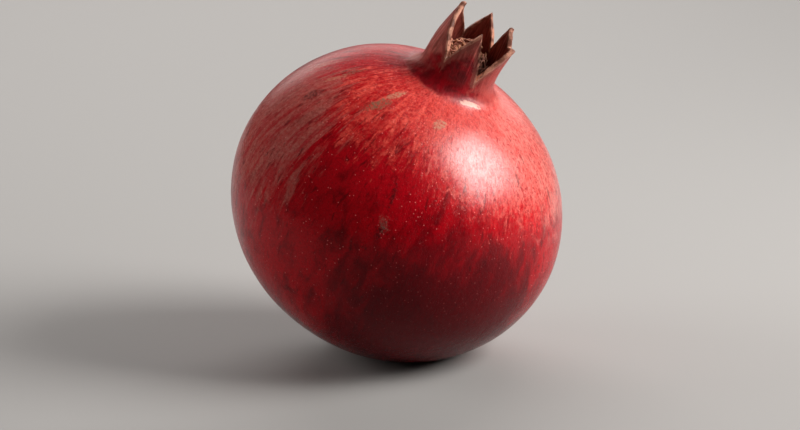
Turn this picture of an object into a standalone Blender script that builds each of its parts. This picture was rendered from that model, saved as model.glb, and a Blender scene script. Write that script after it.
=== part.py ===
# A whole pomegranate lying on its side a little, as it was picked.
# The fruit with its calyx crown is one piece, the dried stamens fill the crown's cup,
# and a short woody stem is left at the other end.
# Metres, +Z up. The surface it lies on is z = 0, and the origin is the middle of its resting spot.

import math
import random
from collections import namedtuple

import bmesh
import bpy
from mathutils import Matrix, Vector

MM = 0.001

# Body, measured in its own frame: +Z along the axis towards the crown, origin at the body's middle
EQUATOR_RADIUS = 48.0 * MM
POLE_HEIGHT = 43.2 * MM
LOPSIDED = 0.0125
RIB_SHARE = 0.0035
RIB_COUNT = 5
FLAT_TOP_RADIUS = 31.0 * MM
FLAT_TOP_DEPTH = 0.9 * MM

# Crown, a tube of skin whose rim rises into pointed sepals
SHOULDER_RADIUS = 18.0 * MM
COLLAR_HEIGHT = 45.4 * MM
COLLAR_RADIUS = 10.7 * MM
TUBE_RADIUS = 10.3 * MM
RIM_HEIGHT = 60.0 * MM
CREST_RISE = 0.35 * MM
COLLAR_WALL = 1.9 * MM
RIM_WALL = 1.1 * MM
LEAN_POWER = 1.6
FILLET_FLARE = 0.35 * MM
FILLET_DROP = 3.2 * MM
FILLET_REACH = 4.6 * MM

# The cup inside the crown
CUP_FLOOR = 43.4 * MM
CUP_CORNER = 0.6 * MM
CUP_CORNER_RISE = 0.5 * MM
CUP_FLOOR_RING = 0.55

# Stem end
SOCKET_RADIUS = 4.3 * MM
SOCKET_DEPTH = 1.2 * MM
SOCKET_TAPER = 0.1 * MM
DIMPLE_RADIUS = 11.0 * MM
DIMPLE_DEPTH = 1.1 * MM
STEM_RADIUS = 3.4 * MM
STEM_LENGTH = 5.0 * MM
STEM_HOLLOW = 0.3 * MM
STEM_STEPS = 20
NODE_GAP = 0.35 * MM

# How it lies: the axis leans this far from upright, towards this compass angle, after this spin
AXIS_TILT = math.radians(25.9)
AXIS_HEADING = math.radians(-28.9)
AXIS_SPIN = math.radians(-8.5)
BODY_MIDDLE = Vector((3.3, -1.8, 43.4)) * MM

COLUMNS_PER_HALF_SEPAL = 8
CROWN_ROWS = 6
FILLET_ROWS = 5
BODY_ROWS = 19

# Each sepal runs from its own notch to the next one's, by angle round the axis.
# Angles are in degrees, and heights and leans in millimetres.
Sepal = namedtuple("Sepal", "notch notch_height tip tip_height lean fullness")
SEPALS = (
    Sepal(notch=244.0, notch_height=48.8, tip=282.5, tip_height=60.5, lean=-0.9, fullness=0.72),
    Sepal(notch=302.4, notch_height=46.9, tip=352.0, tip_height=57.8, lean=2.0, fullness=0.8),
    Sepal(notch=370.0, notch_height=56.4, tip=385.0, tip_height=61.1, lean=-0.4, fullness=0.8),
    Sepal(notch=411.0, notch_height=51.4, tip=437.0, tip_height=61.1, lean=-1.9, fullness=0.72),
    Sepal(notch=470.4, notch_height=51.6, tip=538.0, tip_height=63.4, lean=-2.7, fullness=0.6),
)
FULL_TURN = 360.0

# Dried stamens
STAMEN_COUNT = 46
STAMEN_RADIUS = 0.42 * MM
ANTHER_RADIUS = 0.75 * MM
STAMEN_POINTS = 6
STAMEN_SEED = 11
STAMEN_TOPS = (48.4 * MM, 51.8 * MM)
STAMEN_ROOT_SPREAD = (0.25, 0.85)
STAMEN_REACH = (-0.35, 0.12)
STAMEN_SWING = 0.9
STAMEN_ARCH = 0.62 * math.pi
GOLDEN_ANGLE = math.radians(137.5)
DISC_RADIUS = 7.9 * MM
DISC_TOP = 46.0 * MM
DISC_CROWN = 0.9 * MM
DISC_EDGE = 0.5 * MM
DISC_STEPS = 24

SKIN_RED = (0.42, 0.020, 0.022, 1.0)
STAMEN_BROWN = (0.16, 0.060, 0.030, 1.0)
STEM_BROWN = (0.13, 0.075, 0.040, 1.0)


def clear_scene():
    for obj in list(bpy.data.objects):
        bpy.data.objects.remove(obj, do_unlink=True)


def make_material(name, colour, roughness):
    material = bpy.data.materials.new(name)
    material.use_nodes = True
    shader = material.node_tree.nodes["Principled BSDF"]
    shader.inputs["Base Color"].default_value = colour
    shader.inputs["Roughness"].default_value = roughness
    shader.inputs["Metallic"].default_value = 0.0
    return material


def smooth_step(value, low, high):
    share = min(1.0, max(0.0, (value - low) / (high - low)))
    return share * share * (3.0 - 2.0 * share)


def body_point(turn):
    """A point of the outline, by angle from the crown: an ellipse with a flatter top and a dimple."""
    radius, height = EQUATOR_RADIUS * math.sin(turn), POLE_HEIGHT * math.cos(turn)
    if height > 0:
        return radius, height - FLAT_TOP_DEPTH * (1.0 - smooth_step(radius, 0.0, FLAT_TOP_RADIUS))
    return radius, height + DIMPLE_DEPTH * (1.0 - smooth_step(radius, 0.0, DIMPLE_RADIUS))


def bezier(start, first, second, end, share):
    rest = 1.0 - share
    return tuple(
        rest**3 * a + 3 * rest**2 * share * b + 3 * rest * share**2 * c + share**3 * d
        for a, b, c, d in zip(start, first, second, end)
    )


def wall_at(share):
    """Middle radius and thickness of the crown's wall, from its collar to its rim."""
    ease = 1.0 - (1.0 - share) ** 2
    outer = COLLAR_RADIUS + (TUBE_RADIUS - COLLAR_RADIUS) * ease
    thickness = COLLAR_WALL + (RIM_WALL - COLLAR_WALL) * ease
    return outer - thickness / 2, thickness


def crown_outline(side):
    """Points of the crown's wall from the collar up: side 1 is its outer face and -1 its inner one."""
    points = []
    for row in range(CROWN_ROWS + 1):
        share = row / CROWN_ROWS
        middle, thickness = wall_at(share)
        height = COLLAR_HEIGHT + share * (RIM_HEIGHT - COLLAR_HEIGHT)
        points.append((middle + side * thickness / 2, height))
    return points


def fillet_outline():
    """The hollow curve from the crown's collar out to the shoulder."""
    shoulder_turn = math.asin(SHOULDER_RADIUS / EQUATOR_RADIUS)
    end = Vector(body_point(shoulder_turn))
    onwards = (Vector(body_point(shoulder_turn + 0.01)) - end).normalized()
    start = (COLLAR_RADIUS, COLLAR_HEIGHT)
    below = (COLLAR_RADIUS + FILLET_FLARE, COLLAR_HEIGHT - FILLET_DROP)
    before = end - onwards * FILLET_REACH
    return [bezier(start, below, before, end, row / FILLET_ROWS) for row in range(1, FILLET_ROWS)]


def body_outline():
    """From the shoulder round to the edge of the stem's socket."""
    first = math.asin(SHOULDER_RADIUS / EQUATOR_RADIUS)
    last = math.pi - math.asin(SOCKET_RADIUS / EQUATOR_RADIUS)
    return [body_point(first + (last - first) * row / BODY_ROWS) for row in range(BODY_ROWS + 1)]


def fruit_outline():
    """The half section, from the middle of the cup's floor, over the rim and down to the stem end."""
    inner, outer = crown_outline(-1), crown_outline(1)
    edge = inner[0][0] - CUP_CORNER
    floor = [(0.0, CUP_FLOOR), (edge * CUP_FLOOR_RING, CUP_FLOOR), (edge, CUP_FLOOR + CUP_CORNER_RISE)]
    crest = ((inner[-1][0] + outer[-1][0]) / 2, RIM_HEIGHT + CREST_RISE)
    body = body_outline()
    socket_floor = body[-1][1] + SOCKET_DEPTH
    socket = [(SOCKET_RADIUS - SOCKET_TAPER, socket_floor), (0.0, socket_floor)]
    return floor + inner + [crest] + outer[::-1] + fillet_outline() + body + socket


def turned_mesh(name, outline, steps):
    """The outline turned once round Z, as a plain mesh."""
    mesh = bpy.data.meshes.new(name + "_outline")
    mesh.from_pydata([(r, 0.0, z) for r, z in outline], [(i, i + 1) for i in range(len(outline) - 1)], [])
    obj = bpy.data.objects.new(name + "_turned", mesh)
    bpy.context.scene.collection.objects.link(obj)
    turn = obj.modifiers.new("Turn", "SCREW")
    turn.steps = turn.render_steps = steps
    turn.use_merge_vertices = True
    turn.merge_threshold = 0.01 * MM
    turn.use_normal_calculate = True
    bpy.context.view_layer.update()
    graph = bpy.context.evaluated_depsgraph_get()
    turned = bpy.data.meshes.new_from_object(obj.evaluated_get(graph))
    turned.name = name
    bpy.data.objects.remove(obj, do_unlink=True)
    bpy.data.meshes.remove(mesh)
    return turned


def sepal_at(even_angle):
    """The sepal at an evenly counted angle, the next one, its end, and the share of the way through."""
    count = len(SEPALS)
    place = (even_angle % FULL_TURN) / FULL_TURN * count
    index = min(count - 1, int(place))
    following = SEPALS[(index + 1) % count]
    end = following.notch + (FULL_TURN if index == count - 1 else 0.0)
    return SEPALS[index], following, end, place - index


def crown_angle(even_angle):
    """Spreads evenly counted columns so that each notch and each tip falls on one."""
    sepal, _, end, share = sepal_at(even_angle)
    if share < 0.5:
        return sepal.notch + (sepal.tip - sepal.notch) * share * 2
    return sepal.tip + (end - sepal.tip) * (share * 2 - 1)


def rim_height(even_angle):
    """Height of the crown's rim: low at the notches, high at each sepal's tip."""
    sepal, following, _, share = sepal_at(even_angle)
    notch = sepal.notch_height if share < 0.5 else following.notch_height
    away = abs(share * 2 - 1)
    return (notch + (sepal.tip_height - notch) * (1.0 - away) ** sepal.fullness) * MM


def sepal_lean(even_angle):
    """How far the crown leans out at full height, eased from one sepal's tip to the next."""
    count = len(SEPALS)
    place = ((even_angle % FULL_TURN) / FULL_TURN * count - 0.5) % count
    index = int(place)
    before, after = SEPALS[index].lean, SEPALS[(index + 1) % count].lean
    return (before + (after - before) * smooth_step(place - index, 0.0, 1.0)) * MM


def shape_crown(point, even_angle):
    """Stretches the plain tube up into sepals and leans them."""
    share = (point.z - COLLAR_HEIGHT) / (RIM_HEIGHT - COLLAR_HEIGHT)
    height = COLLAR_HEIGHT + share * (rim_height(even_angle) - COLLAR_HEIGHT)
    rise = (height - COLLAR_HEIGHT) / (RIM_HEIGHT - COLLAR_HEIGHT)
    radius = math.hypot(point.x, point.y) + sepal_lean(even_angle) * max(0.0, rise) ** LEAN_POWER
    return radius, height


def shape_body(radius, height, angle):
    """Makes the body a little lopsided, with faint flat sides, and leaves the axis where it is."""
    polar = math.atan2(radius, height)
    swell = 1.0 - LOPSIDED * math.sin(2 * polar) * math.cos(angle)
    swell += RIB_SHARE * math.sin(polar) ** 2 * math.cos(RIB_COUNT * angle)
    return radius * swell, height * swell


def shape_fruit(mesh):
    first_notch = SEPALS[0].notch
    for vertex in mesh.vertices:
        point = vertex.co
        even_angle = math.degrees(math.atan2(point.y, point.x)) % FULL_TURN
        radius, height = math.hypot(point.x, point.y), point.z
        in_crown = height > COLLAR_HEIGHT
        spread = 1.0 if in_crown else 1.0 - smooth_step(radius, COLLAR_RADIUS, 0.8 * EQUATOR_RADIUS)
        spread *= 1.0 if height > 0 else 0.0
        if in_crown:
            radius, height = shape_crown(point, even_angle)
        plain = first_notch + even_angle
        angle = math.radians(plain + spread * (crown_angle(even_angle) - plain))
        radius, height = shape_body(radius, height, angle)
        vertex.co = (radius * math.cos(angle), radius * math.sin(angle), height)


def cut_resting_spot(mesh, rest):
    """Cuts the underside off flat where the fruit lies on the surface."""
    to_own = rest.inverted()
    shape = bmesh.new()
    shape.from_mesh(mesh)
    bmesh.ops.bisect_plane(
        shape,
        geom=shape.verts[:] + shape.edges[:] + shape.faces[:],
        plane_co=to_own @ Vector((0.0, 0.0, 0.0)),
        plane_no=to_own.to_3x3() @ Vector((0.0, 0.0, -1.0)),
        clear_outer=True,
    )
    bmesh.ops.holes_fill(shape, edges=[e for e in shape.edges if e.is_boundary], sides=0)
    bmesh.ops.recalc_face_normals(shape, faces=shape.faces[:])
    shape.to_mesh(mesh)
    shape.free()


def add_object(name, mesh, material, collection, parent):
    obj = bpy.data.objects.new(name, mesh)
    mesh.materials.append(material)
    collection.objects.link(obj)
    obj.parent = parent
    mesh.shade_smooth()
    mesh.set_sharp_from_angle(angle=math.radians(40))
    return obj


def build_fruit(material, collection, parent, rest):
    steps = 2 * COLUMNS_PER_HALF_SEPAL * len(SEPALS)
    mesh = turned_mesh("fruit", fruit_outline(), steps)
    shape_fruit(mesh)
    cut_resting_spot(mesh, rest)
    return add_object("fruit", mesh, material, collection, parent)


def stamen_path(dice, number):
    """A filament that leaves the disc, rises, bends round the axis and curls over."""
    turn = number * GOLDEN_ANGLE + dice.uniform(-0.2, 0.2)
    nearest, furthest = STAMEN_ROOT_SPREAD
    root = (nearest + (furthest - nearest) * math.sqrt((number + 0.5) / STAMEN_COUNT)) * DISC_RADIUS
    foot = DISC_TOP - DISC_CROWN
    top = dice.uniform(*STAMEN_TOPS)
    swing = dice.uniform(-STAMEN_SWING, STAMEN_SWING)
    reach = dice.uniform(*STAMEN_REACH)
    points = []
    for step in range(STAMEN_POINTS):
        share = step / (STAMEN_POINTS - 1)
        radius = root * (1.0 + reach * share**1.5)
        angle = turn + swing * share**1.3
        height = foot + (top - foot) * math.sin(share * STAMEN_ARCH)
        points.append((radius * math.cos(angle), radius * math.sin(angle), height))
    return points


def tube_object(name, points, radii, collection):
    """A closed round tube along the points, as a welded mesh."""
    curve = bpy.data.curves.new(name, "CURVE")
    curve.dimensions = "3D"
    curve.bevel_depth = 1.0
    curve.bevel_resolution = 0
    curve.use_fill_caps = True
    spline = curve.splines.new("POLY")
    spline.points.add(len(points) - 1)
    for target, point, radius in zip(spline.points, points, radii):
        target.co = (*point, 1.0)
        target.radius = radius
    source = bpy.data.objects.new(name + "_curve", curve)
    bpy.context.scene.collection.objects.link(source)
    bpy.context.view_layer.update()
    graph = bpy.context.evaluated_depsgraph_get()
    mesh = bpy.data.meshes.new_from_object(source.evaluated_get(graph))
    bpy.data.objects.remove(source, do_unlink=True)
    shape = bmesh.new()
    shape.from_mesh(mesh)
    bmesh.ops.remove_doubles(shape, verts=shape.verts[:], dist=0.001 * MM)
    bmesh.ops.recalc_face_normals(shape, faces=shape.faces[:])
    shape.to_mesh(mesh)
    shape.free()
    obj = bpy.data.objects.new(name, mesh)
    collection.objects.link(obj)
    return obj


def joined_mesh(name, core, helpers):
    """One mesh from the core and every object in the helpers' collection, which are then removed."""
    obj = bpy.data.objects.new(name + "_core", core)
    bpy.context.scene.collection.objects.link(obj)
    join = obj.modifiers.new("Join", "BOOLEAN")
    join.operation = "UNION"
    join.operand_type = "COLLECTION"
    join.collection = helpers
    join.solver = "MANIFOLD"
    bpy.context.view_layer.update()
    graph = bpy.context.evaluated_depsgraph_get()
    joined = bpy.data.meshes.new_from_object(obj.evaluated_get(graph))
    joined.name = name
    for helper in [obj, *helpers.objects]:
        bpy.data.objects.remove(helper, do_unlink=True)
    bpy.data.collections.remove(helpers)
    return joined


def build_stamens(material, collection, parent):
    """One dried tuft: a low disc with the filaments sunk into it."""
    helpers = bpy.data.collections.new("stamen_filaments")
    bpy.context.scene.collection.children.link(helpers)
    dice = random.Random(STAMEN_SEED)
    for number in range(STAMEN_COUNT):
        points = stamen_path(dice, number)
        radii = [STAMEN_RADIUS] * (STAMEN_POINTS - 2) + [ANTHER_RADIUS, ANTHER_RADIUS * 0.7]
        tube_object(f"filament_{number}", points, radii, helpers)
    bottom = CUP_FLOOR + CUP_CORNER_RISE + NODE_GAP
    disc = [
        (0.0, DISC_TOP + DISC_CROWN),
        (DISC_RADIUS * 0.5, DISC_TOP + DISC_CROWN * 0.7),
        (DISC_RADIUS * 0.92, DISC_TOP),
        (DISC_RADIUS, DISC_TOP - DISC_EDGE),
        (DISC_RADIUS * 0.94, bottom),
        (0.0, bottom),
    ]
    joined = joined_mesh("stamens", turned_mesh("stamens_disc", disc, DISC_STEPS), helpers)
    return add_object("stamens", joined, material, collection, parent)


def build_stem(material, collection, parent):
    """The stub that was cut from the branch, standing in the socket at the stem end."""
    base = body_outline()[-1][1] + SOCKET_DEPTH - NODE_GAP
    outline = [
        (0.0, base),
        (STEM_RADIUS, base),
        (STEM_RADIUS * 1.08, base - 0.28 * STEM_LENGTH),
        (STEM_RADIUS * 0.86, base - 0.5 * STEM_LENGTH),
        (STEM_RADIUS * 0.8, base - 0.82 * STEM_LENGTH),
        (STEM_RADIUS * 0.92, base - STEM_LENGTH),
        (0.0, base - STEM_LENGTH + STEM_HOLLOW),
    ]
    return add_object("stem", turned_mesh("stem", outline, STEM_STEPS), material, collection, parent)


def main():
    clear_scene()
    collection = bpy.data.collections.new("pomegranate")
    bpy.context.scene.collection.children.link(collection)
    rest = (
        Matrix.Translation(BODY_MIDDLE)
        @ Matrix.Rotation(AXIS_HEADING, 4, "Z")
        @ Matrix.Rotation(AXIS_TILT, 4, "Y")
        @ Matrix.Rotation(AXIS_SPIN - AXIS_HEADING, 4, "Z")
    )
    axis = bpy.data.objects.new("fruit_axis", None)
    collection.objects.link(axis)
    axis.matrix_world = rest
    build_fruit(make_material("rind", SKIN_RED, 0.38), collection, axis, rest)
    build_stamens(make_material("dried_stamens", STAMEN_BROWN, 0.85), collection, axis)
    build_stem(make_material("woody_stem", STEM_BROWN, 0.9), collection, axis)


main()
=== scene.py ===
import math
import random

import bmesh
import bpy
from mathutils import Matrix, Vector, noise


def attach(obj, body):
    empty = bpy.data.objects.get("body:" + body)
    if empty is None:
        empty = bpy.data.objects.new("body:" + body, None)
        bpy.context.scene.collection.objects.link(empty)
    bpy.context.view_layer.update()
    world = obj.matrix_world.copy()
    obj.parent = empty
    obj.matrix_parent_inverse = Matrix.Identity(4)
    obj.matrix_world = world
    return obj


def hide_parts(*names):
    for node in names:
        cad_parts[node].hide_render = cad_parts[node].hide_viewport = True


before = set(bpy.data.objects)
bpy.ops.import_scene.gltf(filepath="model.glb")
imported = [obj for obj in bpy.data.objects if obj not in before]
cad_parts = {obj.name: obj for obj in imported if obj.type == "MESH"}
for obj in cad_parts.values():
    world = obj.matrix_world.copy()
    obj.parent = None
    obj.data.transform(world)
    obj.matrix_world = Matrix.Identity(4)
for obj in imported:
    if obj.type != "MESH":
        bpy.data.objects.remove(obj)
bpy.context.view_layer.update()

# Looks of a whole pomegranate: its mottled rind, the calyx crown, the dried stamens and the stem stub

mm = 0.001

# How the fruit lies. Its own frame has +Z along the axis towards the crown, and is in millimetres
lying = {"tilt": 25.9, "heading": -28.9, "spin": -8.5, "middle": (3.3, -1.8, 43.4)}

ownTurn = (
    Matrix.Rotation(math.radians(lying["heading"]), 4, "Z")
    @ Matrix.Rotation(math.radians(lying["tilt"]), 4, "Y")
    @ Matrix.Rotation(math.radians(lying["spin"] - lying["heading"]), 4, "Z")
)
ownToWorld = Matrix.Translation(Vector(lying["middle"]) * mm) @ ownTurn @ Matrix.Scale(mm, 4)


def fromRoom(across, away, up):
    # a direction in the room, turned into the fruit's own frame
    return ownTurn.to_3x3().inverted() @ Vector((across, away, up)).normalized()


def smoothStep(value, low, high):
    share = min(1.0, max(0.0, (value - low) / (high - low)))
    return share * share * (3.0 - 2.0 * share)


def onCircle(angle, height=0.0):
    return Vector((math.cos(angle), math.sin(angle), height))


def softNoise(point):
    return 0.5 + 0.5 * noise.noise(point)  # from about 0 to about 1


def paint(red, green, blue):
    # a colour given on a 0 to 255 scale, as the linear values that shaders take
    return tuple(
        c / 255 / 12.92 if c <= 10 else ((c / 255 + 0.055) / 1.055) ** 2.4 for c in (red, green, blue)
    ) + (1.0,)


# Camera and lights

cameraSetup = {
    "elevation": 14.0,  # degrees above the surface
    "distance": 0.9,  # metres, as the light's places are
    "nearest": 0.01,
    "sensor": 36.0,
    "imageWidth": 800,
    "imageHeight": 430,
    "pixelsPerMm": 3.54,
    "middlePixel": (396.7, 202.7),  # where the middle of the body is seen
}


def addCamera():
    s = cameraSetup
    rise = math.radians(s["elevation"])
    look = Vector((0.0, math.cos(rise), -math.sin(rise)))
    up = Vector((0.0, math.sin(rise), math.cos(rise)))
    perPixel = mm / s["pixelsPerMm"]
    across = (s["imageWidth"] / 2 - s["middlePixel"][0]) * perPixel
    down = (s["imageHeight"] / 2 - s["middlePixel"][1]) * perPixel
    aim = Vector(lying["middle"]) * mm + Vector((across, 0.0, 0.0)) - up * down
    data = bpy.data.cameras.new("camera")
    data.sensor_width = s["sensor"]
    data.lens = s["sensor"] * s["distance"] / (s["imageWidth"] * perPixel)
    data.clip_start = s["nearest"]
    camera = bpy.data.objects.new("camera", data)
    camera.location = aim - look * s["distance"]
    camera.rotation_euler = (math.pi / 2 - rise, 0.0, 0.0)
    bpy.context.scene.collection.objects.link(camera)
    bpy.context.scene.camera = camera


lightSetup = (
    {"name": "keyRight", "place": (0.607, -0.095, 0.449), "aim": (-0.02, 0.09, 0.01), "size": (0.47, 0.43),
     "power": 2.82, "spread": 90.0, "colour": (1.0, 0.965, 0.94), "mirrored": True},
    {"name": "backLow", "place": (0.05, 0.85, 0.33), "aim": (0.0, 0.0, 0.043), "size": (0.95, 0.34),
     "power": 1.2, "spread": 180.0, "colour": (1.0, 0.90, 0.86), "mirrored": True},
    {"name": "fillLeft", "place": (-0.75, 0.10, 0.34), "aim": (0.0, 0.0, 0.043), "size": (0.50, 0.50),
     "power": 2.9, "spread": 180.0, "colour": (1.0, 0.95, 0.93), "mirrored": False},
    {"name": "floorWash", "place": (0.0, 0.75, 0.62), "aim": (0.0, 0.1, 0.0), "size": (0.90, 0.40),
     "power": 6.6, "spread": 180.0, "colour": (1.0, 0.98, 0.97), "mirrored": False},
)
sky = {"glow": 0.05, "colour": (1.0, 0.98, 0.97, 1.0)}


def addLights():
    for s in lightSetup:
        data = bpy.data.lights.new(s["name"], "AREA")
        data.shape = "RECTANGLE"
        data.size, data.size_y = s["size"]
        data.energy = s["power"]
        data.spread = math.radians(s["spread"])
        data.color = s["colour"]
        lamp = bpy.data.objects.new(s["name"], data)
        lamp.location = s["place"]
        lamp.visible_glossy = s["mirrored"]
        lamp.rotation_euler = (Vector(s["aim"]) - Vector(s["place"])).to_track_quat("-Z", "Y").to_euler()
        bpy.context.scene.collection.objects.link(lamp)
    world = bpy.data.worlds.new("softRoom")
    world.use_nodes = True
    background = world.node_tree.nodes["Background"]
    background.inputs["Color"].default_value = sky["colour"]
    background.inputs["Strength"].default_value = sky["glow"]
    bpy.context.scene.world = world
    bpy.context.scene.view_settings.view_transform = "Standard"


# Shader building

def feed(tree, value, socket):
    if isinstance(value, bpy.types.NodeSocket):
        tree.links.new(value, socket)
    else:
        socket.default_value = value


def addNode(tree, kind, inputs=None, **settings):
    made = tree.nodes.new("ShaderNode" + kind)
    for name, value in settings.items():
        setattr(made, name, value)
    for name, value in (inputs or {}).items():
        feed(tree, value, made.inputs[name])
    return made


def maths(tree, operation, first, second, clamp=False):
    return addNode(tree, "Math", {0: first, 1: second}, operation=operation, use_clamp=clamp).outputs[0]


def plus(tree, first, second, clamp=False):
    return maths(tree, "ADD", first, second, clamp)


def minus(tree, first, second):
    return maths(tree, "SUBTRACT", first, second)


def times(tree, first, second, clamp=False):
    return maths(tree, "MULTIPLY", first, second, clamp)


def larger(tree, first, second):
    return maths(tree, "MAXIMUM", first, second)


def ramp(tree, value, low, high, start=0.0, end=1.0):
    # a smooth change from start to end as the value goes from low to high, which may be the smaller one
    ends = {"Value": value, "From Min": low, "From Max": high, "To Min": start, "To Max": end}
    return addNode(tree, "MapRange", ends, interpolation_type="SMOOTHSTEP").outputs[0]


mixSockets = {"share": 0, "under": 6, "over": 7, "result": 2}  # the ones that the Mix node has for colours


def blendTo(tree, share, under, over):
    m = mixSockets
    given = {m["share"]: share, m["under"]: under, m["over"]: over}
    return addNode(tree, "Mix", given, data_type="RGBA", clamp_factor=True).outputs[m["result"]]


def leaning(tree, vector, direction, middle, gain):
    # how far this side of the fruit turns towards a direction of the room: 0 at the middle, less beyond it
    side = addNode(tree, "VectorMath", {0: vector}, operation="NORMALIZE").outputs[0]
    dot = addNode(tree, "VectorMath", {0: side, 1: fromRoom(*direction)}, operation="DOT_PRODUCT")
    return times(tree, minus(tree, dot.outputs["Value"], middle), gain)


def facing(tree, meridian, degrees):
    # 1 where the skin faces this angle round the axis, -1 on the other side
    ahead = onCircle(math.radians(degrees))
    return addNode(tree, "VectorMath", {0: meridian, 1: ahead}, operation="DOT_PRODUCT").outputs["Value"]


def newGroup(name, vectors, numbers, output):
    # a node group with vector inputs, number inputs that have a default each, and one output
    group = bpy.data.node_groups.new(name, "ShaderNodeTree")
    for label in vectors:
        group.interface.new_socket(label, in_out="INPUT", socket_type="NodeSocketVector")
    for label, value in numbers.items():
        socket = group.interface.new_socket(label, in_out="INPUT", socket_type="NodeSocketFloat")
        socket.default_value = value
    group.interface.new_socket(output, in_out="OUTPUT", socket_type="NodeSocketFloat")
    return group, group.nodes.new("NodeGroupInput").outputs, group.nodes.new("NodeGroupOutput").inputs


patternSetup = {
    "roughness": 0.6,  # how much the finer octaves of a noise count
    "dotCore": 0.45, "patchCore": 0.62,  # the solid share of a dot and of a patch
    "patchDetail": 4.0, "patchRoughness": 0.65,
}


def noiseMask(tree, vector, scale, given):
    # a noise that comes up between Low and High, with Bias added to it first
    cloud = addNode(tree, "TexNoise", {
        "Vector": vector, "Scale": scale, "Detail": given["Detail"], "Roughness": patternSetup["roughness"],
        "Distortion": given["Warp"]}).outputs["Fac"]
    return ramp(tree, plus(tree, cloud, given["Bias"]), given["Low"], given["High"])


def makeStreakGroup():
    # streaks that run along the meridians, from a circle round the axis and the way along it
    tree, given, result = newGroup("meridianStreaks", ("Meridian",), {
        "Across": 20.0, "Along": 3.0, "Offset": 0.0, "Detail": 3.0, "Warp": 0.0, "Bias": 0.0,
        "Low": 0.4, "High": 0.6}, "Streak")
    parts = addNode(tree, "SeparateXYZ", {"Vector": given["Meridian"]}).outputs
    stretched = addNode(tree, "CombineXYZ", {
        "X": times(tree, parts["X"], given["Across"]),
        "Y": times(tree, parts["Y"], given["Across"]),
        "Z": plus(tree, times(tree, parts["Z"], given["Along"]), given["Offset"]),
    }).outputs[0]
    feed(tree, noiseMask(tree, stretched, 1.0, given), result["Streak"])
    return tree


def makeMottleGroup():
    tree, given, result = newGroup("mottle", ("Vector",), {
        "Scale": 1.0, "Detail": 3.0, "Warp": 0.0, "Bias": 0.0, "Low": 0.4, "High": 0.6}, "Mask")
    feed(tree, noiseMask(tree, given["Vector"], given["Scale"], given), result["Mask"])
    return tree


def makeSpeckGroup():
    # round dots scattered over the surface, only a share of the cells having one
    tree, given, result = newGroup("specks", ("Vector",), {"Scale": 0.3, "Size": 0.12, "Share": 0.5}, "Mask")
    cells = addNode(tree, "TexVoronoi", {
        "Vector": given["Vector"], "Scale": given["Scale"], "Randomness": 1.0}).outputs
    core = times(tree, given["Size"], patternSetup["dotCore"])
    dot = ramp(tree, cells["Distance"], given["Size"], core)
    draw = addNode(tree, "SeparateColor", {"Color": cells["Color"]}).outputs["Red"]
    chosen = maths(tree, "LESS_THAN", draw, given["Share"])
    feed(tree, times(tree, dot, chosen), result["Mask"])
    return tree


def makePatchGroup():
    # one frayed oval patch at a place on the fruit
    tree, given, result = newGroup("patch", ("Vector", "Middle", "Turn", "Size"), {
        "Fray": 0.5, "Grain": 1.2}, "Mask")
    placed = addNode(tree, "Mapping", {
        "Vector": given["Vector"], "Location": given["Middle"], "Rotation": given["Turn"],
        "Scale": given["Size"]}, vector_type="TEXTURE").outputs[0]
    away = addNode(tree, "VectorMath", {0: placed}, operation="LENGTH").outputs["Value"]
    rough = addNode(tree, "TexNoise", {
        "Vector": given["Vector"], "Scale": given["Grain"], "Detail": patternSetup["patchDetail"],
        "Roughness": patternSetup["patchRoughness"]}).outputs["Fac"]
    frayed = plus(tree, away, times(tree, minus(tree, rough, 0.5), given["Fray"]))
    feed(tree, ramp(tree, frayed, 1.0, patternSetup["patchCore"]), result["Mask"])
    return tree


streakGroup = makeStreakGroup()
mottleGroup = makeMottleGroup()
speckGroup = makeSpeckGroup()
patchGroup = makePatchGroup()


def useGroup(tree, group, **inputs):
    made = tree.nodes.new("ShaderNodeGroup")
    made.node_tree = group
    for name, value in inputs.items():
        feed(tree, value, made.inputs[name])
    return made.outputs[0]


def startMaterial(name):
    material = bpy.data.materials.new(name)
    material.use_nodes = True
    tree = material.node_tree
    return material, tree, tree.nodes["Principled BSDF"]


def ownPlace(tree):
    # Object coordinates turned into the fruit's own frame, in millimetres
    coordinates = addNode(tree, "TexCoord").outputs["Object"]
    return addNode(tree, "Mapping", {
        "Vector": coordinates, "Location": Vector(lying["middle"]) * mm, "Rotation": ownTurn.to_euler(),
        "Scale": (mm, mm, mm)}, vector_type="TEXTURE").outputs[0]


def attribute(tree, name, output="Fac"):
    return addNode(tree, "Attribute", attribute_name=name).outputs[output]


def plainNoise(tree, own, scale, detail):
    return addNode(tree, "TexNoise", {"Vector": own, "Scale": scale, "Detail": detail}).outputs["Fac"]


def bumps(tree, height, strength, distance):
    return addNode(tree, "Bump", {"Height": height, "Strength": strength, "Distance": distance}).outputs[0]


def setShader(tree, shader, values):
    for name, value in values.items():
        feed(tree, value, shader.inputs[name])


# Rind

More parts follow.
